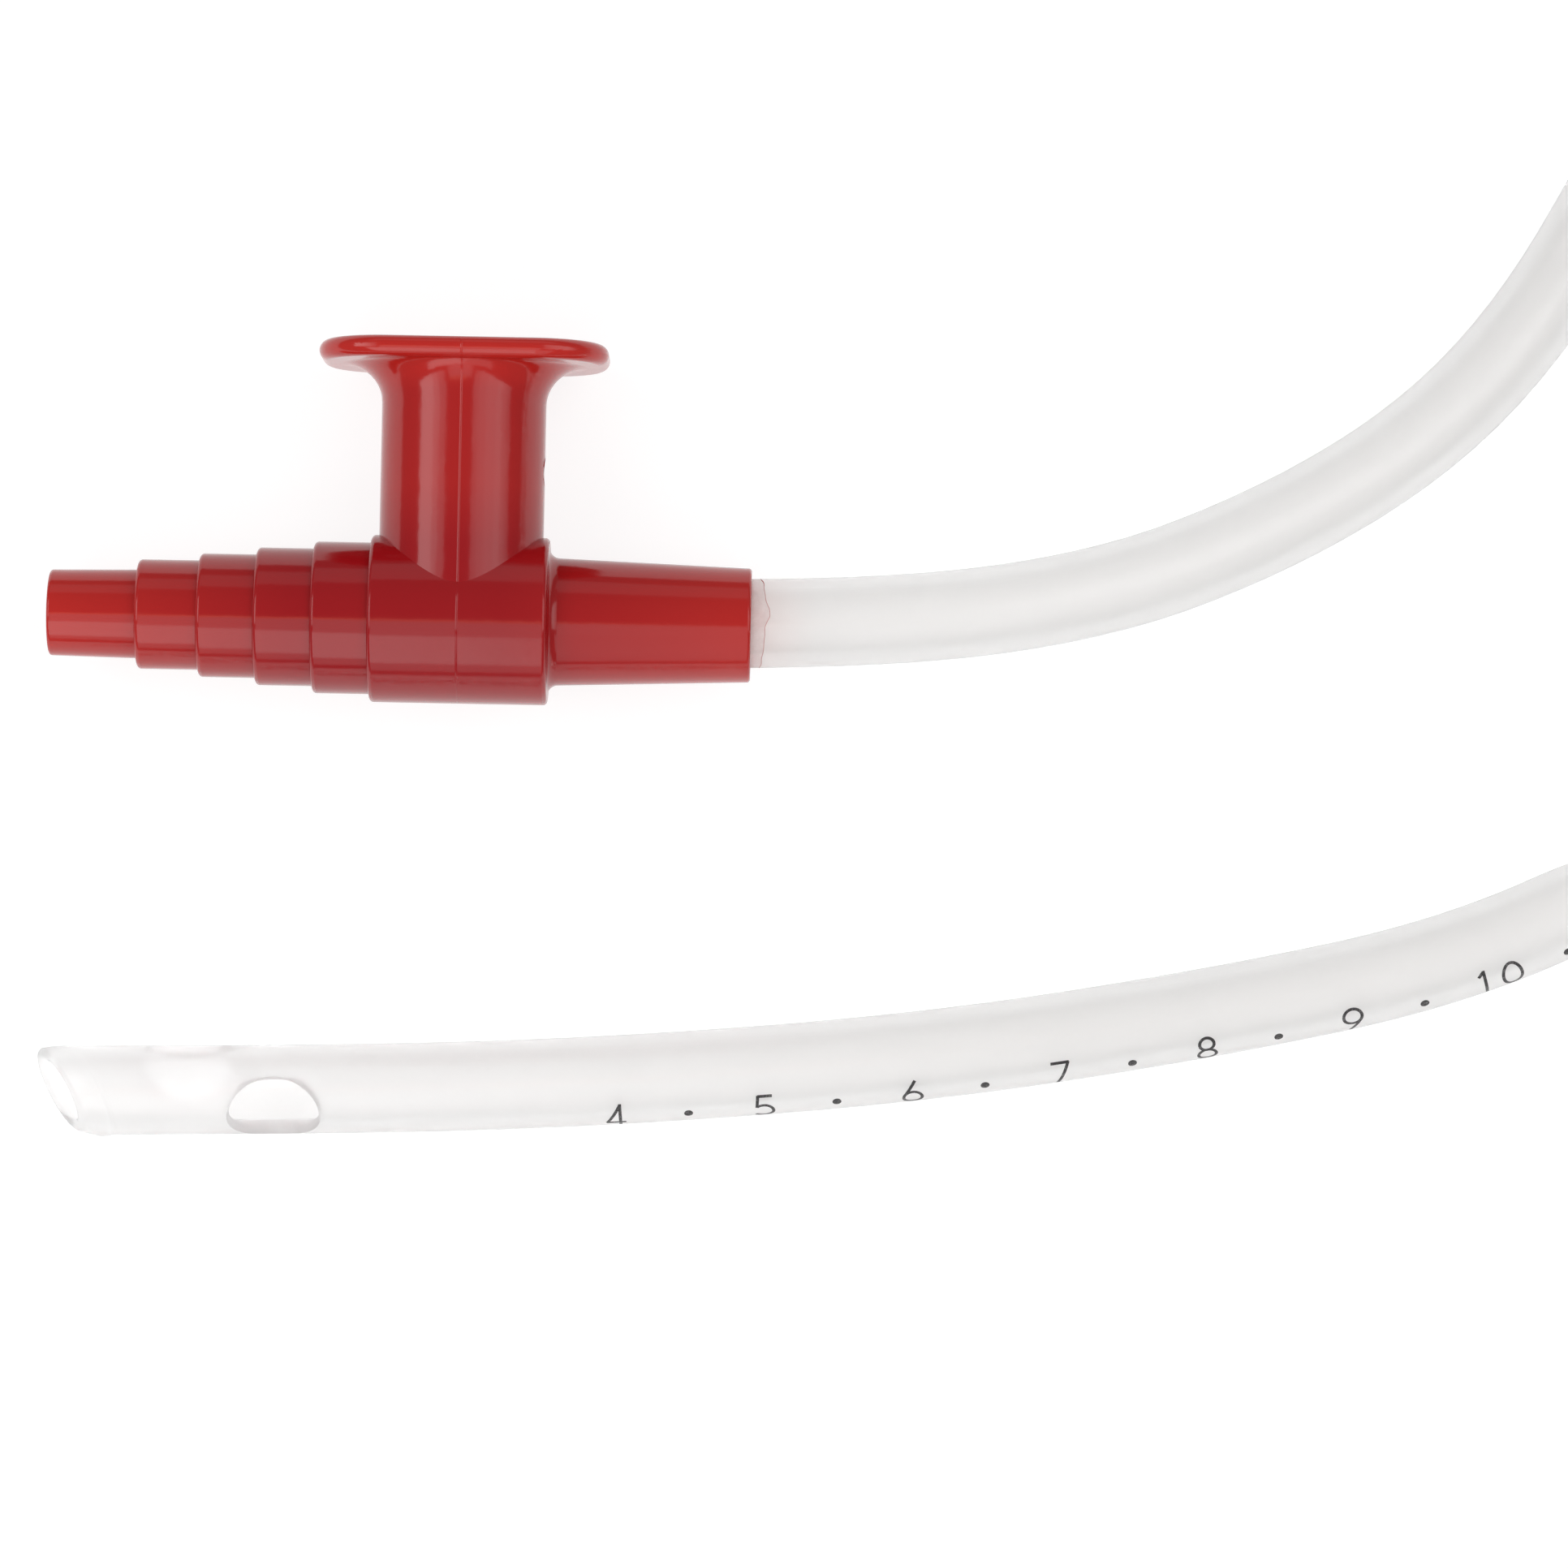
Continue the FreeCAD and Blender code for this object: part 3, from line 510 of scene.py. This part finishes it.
red_tint = clear.colour_between(glue.outputs["Result"], tint, REDDENED)
rough = clear.add("ShaderNodeMapRange", Value=lines.outputs["Broad"],
                  From_Min=0.3, From_Max=0.7, To_Min=HAZE, To_Max=HAZE + 0.03)
bump = clear.add("ShaderNodeBump", Height=lines.outputs["Both"], Strength=0.07, Distance=0.2 * MM)
clear.feed(clear.shader, {
    "Base Color": red_tint, "Transmission Weight": 0.85, "IOR": 1.33,
    "Roughness": rough.outputs["Result"], "Normal": bump.outputs["Normal"],
    "Coat Weight": 0.3, "Coat Roughness": 0.06})
path_kind = clear.add("ShaderNodeLightPath")
passing = clear.add("ShaderNodeBsdfTransparent", Color=(0.93, 0.93, 0.93, 1))
surface = clear.either(
    path_kind.outputs["Is Shadow Ray"], clear.shader.outputs["BSDF"], passing.outputs["BSDF"])
clear.links.new(surface, clear.output.inputs["Surface"])
tube.data.materials.append(clear.owner)
print("clear finish:", len(clear.nodes), "nodes")

# %% The cut walls' finish
SCUFFED_LIGHT = (0.96, 0.95, 0.95, 1)
SCUFFED_DARK = (0.82, 0.80, 0.805, 1)

frosted = Tree(bpy.data.materials.new("cut_edge"))
spot = frosted.add("ShaderNodeTexCoord")
torn = frosted.add("ShaderNodeGroup", {"node_tree": UNEVENNESS}, Vector=spot.outputs["Object"],
                   Fine_Scale=4000.0, Broad_Scale=900.0, Fine_Share=0.5)
scuffed = frosted.colour_between(torn.outputs["Broad"], SCUFFED_LIGHT, SCUFFED_DARK)
rough = frosted.add("ShaderNodeMapRange", Value=torn.outputs["Fine"], To_Min=0.28, To_Max=0.36)
frosted.feed(frosted.shader, {
    "Base Color": scuffed, "Transmission Weight": 0.4, "IOR": 1.33,
    "Roughness": rough.outputs["Result"]})
tube.data.materials.append(frosted.owner)
print("cut walls' finish:", len(frosted.nodes), "nodes")

# %% [markdown]
# ### Red moulded plastic
# The moulding is glossy and a little see-through. Towards the barb's end and the socket's mouth
# and in the stem and its rest, its colour is painted lighter and more orange: a painted glow for
# light that comes back out of thin plastic. Each such place is a range of one Object coordinate.
# A moulded surface also has a parting line, a hair-thin ridge where the mould's halves met. Here
# it lies in the plane across the air way through the stem's middle, so a band of the Object X
# coordinate draws it on the stem, the rest and the hub at once, as height for a Bump node.

# %% The connector's finish
PARTING_X = 4.02 * MM
RIDGE_HALF_WIDTH, STEP_HALF_WIDTH = 0.09 * MM, 0.1 * MM
DEEP_RED = (0.41, 0.007, 0.011, 1)
# the second red is painted light: lighter and more orange, a painted glow for light coming back out
# of thin plastic
PAINTED_GLOW_RED = (0.78, 0.036, 0.024, 1)

red = Tree(bpy.data.materials.new("red_moulding"))
spot = red.add("ShaderNodeTexCoord")
apart = red.add("ShaderNodeSeparateXYZ", Vector=spot.outputs["Object"])
flow = red.add("ShaderNodeGroup", {"node_tree": UNEVENNESS}, Vector=spot.outputs["Object"],
               Fine_Scale=900.0, Broad_Scale=90.0, Fine_Share=0.35)
# where the red is painted lighter as a painted glow: axis, range in millimetres, share at each end
PAINTED_GLOW_PLACES = [
    ("X", -23.65, -7.0, 0.56, 0.0),
    ("X", 7.0, 22.5, 0.0, 0.45),
    ("Y", -2.0, 2.0, 0.0, 0.30),
    ("Y", 6.5, 10.5, 0.0, 0.65),
]
painted_glow = 0.0
for axis, low, high, at_low, at_high in PAINTED_GLOW_PLACES:
    this_place = red.add("ShaderNodeMapRange", Value=apart.outputs[axis], From_Min=low * MM,
                         From_Max=high * MM, To_Min=at_low, To_Max=at_high)
    painted_glow = red.maths("MAXIMUM", painted_glow, this_place.outputs["Result"])
# the deep red, painted lighter and more orange by the painted glow's share
red_with_painted_glow = red.colour_between(painted_glow, DEEP_RED, PAINTED_GLOW_RED)
off_parting = red.maths("SUBTRACT", apart.outputs["X"], PARTING_X)
ridge = red.add("ShaderNodeMapRange", {"interpolation_type": "SMOOTHSTEP"},
                Value=red.maths("ABSOLUTE", off_parting),
                From_Min=0.0, From_Max=RIDGE_HALF_WIDTH, To_Min=1.0, To_Max=0.0)
step_over = red.add("ShaderNodeMapRange", {"interpolation_type": "SMOOTHSTEP"},
                    Value=off_parting, From_Min=-STEP_HALF_WIDTH, From_Max=STEP_HALF_WIDTH,
                    To_Min=0.0, To_Max=0.5)
seam = red.maths("ADD", ridge.outputs["Result"], step_over.outputs["Result"])
seam_bump = red.add("ShaderNodeBump", Height=seam, Strength=0.6, Distance=0.03 * MM)
skin = red.add("ShaderNodeBump", Height=flow.outputs["Both"], Strength=0.10, Distance=0.2 * MM,
               Normal=seam_bump.outputs["Normal"])
gloss = red.add("ShaderNodeMapRange", Value=flow.outputs["Broad"],
                From_Min=0.3, From_Max=0.7, To_Min=0.10, To_Max=0.17)
red.feed(red.shader, {
    "Base Color": red_with_painted_glow, "Roughness": gloss.outputs["Result"], "IOR": 1.52,
    "Normal": skin.outputs["Normal"]})
connector.data.materials.clear()
connector.data.materials.append(red.owner)
print("red finish:", len(red.nodes), "nodes")

# %% [markdown]
# ## Bond at the socket's mouth
# The tube is glued in with solvent, which softens the red plastic and leaves a pink film on the
# tube's first millimetre, ending in a wavy red line. The film is a thin sleeve whose far edge is
# a function of the turn round the tube, and the line is a bead that follows that same edge.


# %% The film and its edge
def film_edge(turned):
    """How far the film reaches from the socket's mouth at each turn: measured at a few turns from
    the side of the stem round to the other side, joined smoothly, and even underneath."""
    turns = np.radians([-180, -120, -90, -60, -35, -12, 2, 12, 25, 40, 55, 75, 90, 120, 180])
    measured = np.array([0.6, 0.55, 0.5, 0.68, 0.8, 0.9, 1.22, 1.18, 0.98, 0.92, 0.86, 0.7, 0.66,
                         0.6, 0.6]) * MM
    wave = 0.035 * MM * np.sin(11 * turned) * np.cos(3 * turned)
    return np.interp((turned + np.pi) % (2 * np.pi) - np.pi, turns, measured) + wave


UNDER_MOUTH = 0.15 * MM
mouth_from_tip = SOCKET_CM * 10 * MM
ring = np.linspace(0, 2 * np.pi, 97)


def film_row(inset, radius):
    """A ring of the film: that share of the way from inside the mouth to the film's edge."""
    t = mouth_from_tip + UNDER_MOUTH - inset * (film_edge(ring) + UNDER_MOUTH)
    return on_tube(t, np.full_like(ring, radius), ring)


FILM_PROFILE = [(0, 3.004), (0, 3.04), (0.15, 3.045), (0.3, 3.055), (0.6, 3.035), (0.85, 3.03),
                (0.97, 3.02), (1, 3.004), (0.5, 3.004), (0, 3.004)]
film = solid_from("bond_film", [np.stack([film_row(a, b * MM) for a, b in FILM_PROFILE])])

# %% The red line
BEAD_CORNERS = 8
LINE_THIN, BLOB = 0.014 * MM, 0.02 * MM
BLOB_TURN, BLOB_SPREAD = 62, 8
LINE_RADIUS = 3.015 * MM


def bead(middle, radius):
    """A closed bead round the tube: a circle of that radius, square to the tube's surface,
    carried along the ring of points."""
    around = np.linspace(0, 2 * np.pi, BEAD_CORNERS + 1)
    ahead = unit(np.roll(middle[:-1], -1, axis=0) - np.roll(middle[:-1], 1, axis=0))
    ahead = np.concatenate([ahead, ahead[:1]])
    centre = np.array([0, MOUTH[1], MOUTH[2]])
    outwards = unit((middle - centre) * [0, 1, 1])
    across = np.cross(ahead, outwards)
    return middle[:, None] + radius[:, None, None] * (
        np.cos(around)[:, None] * outwards[:, None] + np.sin(around)[:, None] * across[:, None])


fine_ring = np.linspace(0, 2 * np.pi, 241)
off_blob = (np.degrees(fine_ring) - BLOB_TURN) / BLOB_SPREAD
thickness = LINE_THIN + BLOB * np.exp(-(off_blob**2))
edge_line = on_tube(
    mouth_from_tip - film_edge(fine_ring), np.full_like(fine_ring, LINE_RADIUS), fine_ring)
edge = solid_from("bond_line", [bead(edge_line, thickness)])

# %% The film's and the line's finishes
FILM_PINK = (0.95, 0.20, 0.18, 1)
STAIN, PALE_STAIN = (0.42, 0.03, 0.03, 1), (0.72, 0.22, 0.20, 1)

pink = Tree(bpy.data.materials.new("bond_film"))
spot = pink.add("ShaderNodeTexCoord")
uneven = pink.add("ShaderNodeGroup", {"node_tree": UNEVENNESS}, Vector=spot.outputs["Object"],
                  Fine_Scale=3000.0, Broad_Scale=700.0, Fine_Share=0.4)
see = pink.add("ShaderNodeMapRange", Value=uneven.outputs["Both"],
               From_Min=0.35, From_Max=0.65, To_Min=0.02, To_Max=0.075)
pink.feed(pink.shader, {
    "Base Color": FILM_PINK, "Roughness": 0.12, "IOR": 1.45, "Alpha": see.outputs["Result"]})
film.data.materials.append(pink.owner)

stain = Tree(bpy.data.materials.new("bond_line"))
spot = stain.add("ShaderNodeTexCoord")
uneven = stain.add("ShaderNodeGroup", {"node_tree": UNEVENNESS}, Vector=spot.outputs["Object"],
                   Fine_Scale=3000.0, Broad_Scale=900.0, Fine_Share=0.4)
shade = stain.colour_between(uneven.outputs["Both"], STAIN, PALE_STAIN)
stain.feed(stain.shader, {"Base Color": shade, "Roughness": 0.2})
edge.data.materials.append(stain.owner)
for piece in (film, edge):
    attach(piece, "root")

# %% [markdown]
# ## Printed depth marks
# Centimetre numerals and half-way dots are printed along the tube. A text object would need its
# letters bent round the tube, and its fonts don't have this thin drawing, so each numeral is a
# few strokes: lines and arcs in a flat frame of its own. A stroke becomes a ribbon, and the
# ribbon's flat coordinates become distance along the tube and turn round it.


# %% Strokes of the numerals
def arc(cx, cy, rx, ry, start, end):
    """Points of an oval arc, from one angle to another in degrees, anticlockwise from the
    right."""
    a = np.radians(np.linspace(start, end, 28))
    return np.stack([cx + rx * np.cos(a), cy + ry * np.sin(a)], axis=1)


def bar(*corners):
    """Points of a straight stroke."""
    ends = np.array(corners, float)
    return ends[0] + (ends[1] - ends[0]) * np.linspace(0, 1, 12)[:, None]


NUMERALS = {
    "0": [arc(0, 0, 0.64, 1.05, 0, 360)],
    "1": [bar((-0.3, 0.72), (0.1, 1.08)), bar((0.1, 1.15), (0.1, -1.12))],
    "2": [arc(0, 0.5, 0.55, 0.55, 165, -38), bar((0.43, 0.16), (-0.58, -1.02)),
          bar((-0.62, -1.02), (0.65, -1.02))],
    "3": [arc(0, 0.52, 0.5, 0.52, 155, -90), arc(0, -0.48, 0.6, 0.56, 90, -155)],
    "4": [bar((0.28, 1.15), (0.28, -1.15)), bar((0.3, 1.1), (-0.62, -0.62)),
          bar((-0.66, -0.62), (0.66, -0.62))],
    "5": [bar((0.55, 1.02), (-0.42, 1.02)), bar((-0.4, 1.08), (-0.5, 0.06)),
          arc(-0.05, -0.38, 0.66, 0.64, 132, -142)],
    "6": [arc(0, -0.42, 0.62, 0.62, 0, 360), bar((0.2, 1.12), (-0.56, -0.14))],
    "7": [bar((-0.62, 1.02), (0.62, 1.02)), bar((0.57, 1.06), (-0.22, -1.12))],
    "8": [arc(0, 0.54, 0.49, 0.5, 0, 360), arc(0, -0.5, 0.6, 0.56, 0, 360)],
    "9": [arc(0, 0.42, 0.62, 0.62, 0, 360), bar((-0.2, -1.12), (0.56, 0.14))],
}
STROKE = 0.105 * MM
LIFT = np.array([0.010, 0.022]) * MM
MARK_TURN = np.radians(60.5)
MARK_TWIST = np.radians(-50)
TWIST_FROM = 39 * MM
MARK_STEP = 9.93 * MM
MARK_START = -0.65 * MM
DIGIT_STEP = 1.95 * MM
DRAWN_TALLER = 1.1
DOT_STEP, DOT_RADIUS = 4.85 * MM, 0.3 * MM
FIRST_MARK, LAST_MARK = 4, 20


# %% Ribbons on the tube
def printed(x, y, lift, at):
    """A flat point of a mark, laid on the tube: x along it, away from the tip, and y round it,
    towards its top. The row of marks twists a little round the tube, by so much a metre."""
    turned = MARK_TURN + MARK_TWIST * (at - TWIST_FROM) - DRAWN_TALLER * y / TUBE_RADIUS
    return on_tube(at + x, TUBE_RADIUS + lift, turned)


def ribbon(stroke, at, shift):
    """A stroke as a closed bar: four long edges, half a stroke to each side at two heights over
    the tube, with its ends drawn to a line."""
    middle = stroke * MM + [shift, 0]
    ahead = unit(np.gradient(middle, axis=0))
    across = np.stack([-ahead[:, 1], ahead[:, 0]], axis=1)
    middle = np.concatenate([middle[:1], middle, middle[-1:]])
    across = np.concatenate([across[:1] * 0, across, across[-1:] * 0])
    sides = np.array([1, -1, -1, 1, 1]) * STROKE
    lifts = LIFT[[0, 0, 1, 1, 0]] * np.ones((len(middle), 1))
    lifts[[0, -1]] = LIFT.mean()
    flat = middle[:, None] + across[:, None] * sides[:, None]
    return printed(flat[..., 0], flat[..., 1], lifts, at)


def dot(at):
    """A round dot: rings that shrink to a point above and below a disc."""
    a = np.linspace(0, 2 * np.pi, 25)
    size = np.array([0, 1, 1, 0])[:, None] * DOT_RADIUS
    height = LIFT[[0, 0, 1, 1]][:, None] * np.ones(len(a))
    return printed(size * np.cos(a), size * np.sin(a), height, at)


ribbons = []
for mark in range(FIRST_MARK, LAST_MARK + 1):
    at = MARK_STEP * mark + MARK_START
    digits = str(mark)
    for column, digit in enumerate(digits):
        shift = (column - (len(digits) - 1) / 2) * DIGIT_STEP
        ribbons += [ribbon(stroke, at, shift) for stroke in NUMERALS[digit]]
    ribbons.append(dot(at + DOT_STEP))
marks = solid_from("depth_marks", ribbons, crease=30)

# %% The ink
INK, WORN_INK = (0.035, 0.032, 0.033, 1), (0.22, 0.21, 0.21, 1)

ink = Tree(bpy.data.materials.new("mark_ink"))
spot = ink.add("ShaderNodeTexCoord")
blotch = ink.add("ShaderNodeGroup", {"node_tree": UNEVENNESS}, Vector=spot.outputs["Object"],
                 Fine_Scale=9000.0, Broad_Scale=1500.0, Fine_Share=0.6)
worn = ink.add("ShaderNodeMapRange", Value=blotch.outputs["Both"],
               From_Min=0.5, From_Max=0.68, To_Min=0.0, To_Max=1.0)
tone = ink.colour_between(worn.outputs["Result"], INK, WORN_INK)
ink.feed(ink.shader, {"Base Color": tone, "Roughness": 0.45})
marks.data.materials.append(ink.owner)
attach(marks, "root")
print("marks", FIRST_MARK, "to", LAST_MARK)

# %% [markdown]
# ## Table and light
# Product photographs like this one are lit by large soft boxes overhead, with a dark gap between
# them for the camera. Their edges are what draws the crisp bands on the red plastic, so each box
# is placed by the directions that its band reflects. The table and the room are white to the
# camera and to what is seen through the tube, and the table keeps a faint shadow.


# %% Soft boxes
BOX_HEIGHT = 0.6


def reach(degrees):
    """Where directions so many degrees from upright meet the boxes' height."""
    return tuple(BOX_HEIGHT * np.tan(np.radians(degrees)))


def soft_box(name, x_degrees, y_degrees, brightness, colour):
    """A rectangle of light over the table, between two directions each way. Brightness is its
    radiance, so its power is that times pi times its area."""
    x, y = reach(x_degrees), reach(y_degrees)
    light = bpy.data.lights.new(name, "AREA")
    light.shape = "RECTANGLE"
    light.size, light.size_y = x[1] - x[0], y[1] - y[0]
    light.energy = brightness * np.pi * light.size * light.size_y
    light.color = colour
    lamp = bpy.data.objects.new(name, light)
    lamp.location = (sum(x) / 2, sum(y) / 2, BOX_HEIGHT)
    bpy.context.scene.collection.objects.link(lamp)
    print(name, round(light.energy, 2), "W")


WHITE, WARM = (1.0, 1.0, 1.0), (1.0, 0.30, 0.16)
LEFT_WINDOW = [(-57, -38, 2.35), (-38, -30, 1.6), (-30, -21, 0.9)]
RIGHT_WINDOW = [(13, 20, 0.85), (20, 30, 1.15), (30, 44, 1.4), (44, 53, 1.6), (53, 60, 1.1),
                (60, 66, 0.7)]
for number, (low, high, brightness) in enumerate(LEFT_WINDOW + RIGHT_WINDOW):
    soft_box(f"window_{number}", (low, high), (-21, 30), brightness, WHITE)
soft_box("warm_strip", (-16, 4), (-10, -7.5), 2.2, WARM)
soft_box("front_near", (-16, 9), (-30, -10), 0.8, WHITE)
soft_box("front_far", (-40, -1), (-70, -30), 1.7, WHITE)
soft_box("front_right", (-1, 30), (-70, -30), 0.7, WHITE)
soft_box("front_low", (-40, 30), (-83, -70), 0.7, WHITE)
soft_box("back_wall", (-40, 40), (48, 74), 0.3, WHITE)

# %% World
DIM, BRIGHT = 0.20, 1.2

room = Tree(bpy.data.worlds.new("room"), "Background", "World Output")
bpy.context.scene.world = room.owner
room.feed(room.shader, {"Color": (1, 1, 1, 1), "Strength": DIM})
white = room.add("ShaderNodeBackground", Color=(1, 1, 1, 1), Strength=BRIGHT)
ray = room.add("ShaderNodeLightPath")
through_tube = room.maths("MINIMUM", ray.outputs["Transmission Depth"], 1.0)
seen = room.maths("MAXIMUM", ray.outputs["Is Camera Ray"], through_tube)
chosen = room.either(seen, room.shader.outputs["Background"], white.outputs["Background"])
room.links.new(chosen, room.output.inputs["Surface"])
print("world:", len(room.nodes), "nodes")

# %% The table
TABLE_HALF = 2.0
TABLE_LEVEL = -0.03 * MM
WHITE_SHARE = 0.65

table_mesh = bpy.data.meshes.new("table")
corners = [(-1, -1), (1, -1), (1, 1), (-1, 1)]
table_mesh.from_pydata(
    [(TABLE_HALF * x, TABLE_HALF * y, TABLE_LEVEL) for x, y in corners], [], [(0, 1, 2, 3)])
table = bpy.data.objects.new("table", table_mesh)
bpy.context.scene.collection.objects.link(table)
cover = Tree(bpy.data.materials.new("table"))
cover.feed(cover.shader, {"Base Color": (0.8, 0.8, 0.8, 1), "Roughness": 0.7})
glow = cover.add("ShaderNodeEmission", Color=(1, 1, 1, 1), Strength=1.3)
ray = cover.add("ShaderNodeLightPath")
direct = cover.maths("MAXIMUM", ray.outputs["Is Camera Ray"], ray.outputs["Is Transmission Ray"])
seen = cover.maths("MAXIMUM", direct, ray.outputs["Is Glossy Ray"])
whitened = cover.either(cover.maths("MULTIPLY", seen, WHITE_SHARE),
                        cover.shader.outputs["BSDF"], glow.outputs["Emission"])
cover.links.new(whitened, cover.output.inputs["Surface"])
table_mesh.materials.append(cover.owner)

# %% Colours as written
bpy.context.scene.view_settings.view_transform = "Standard"
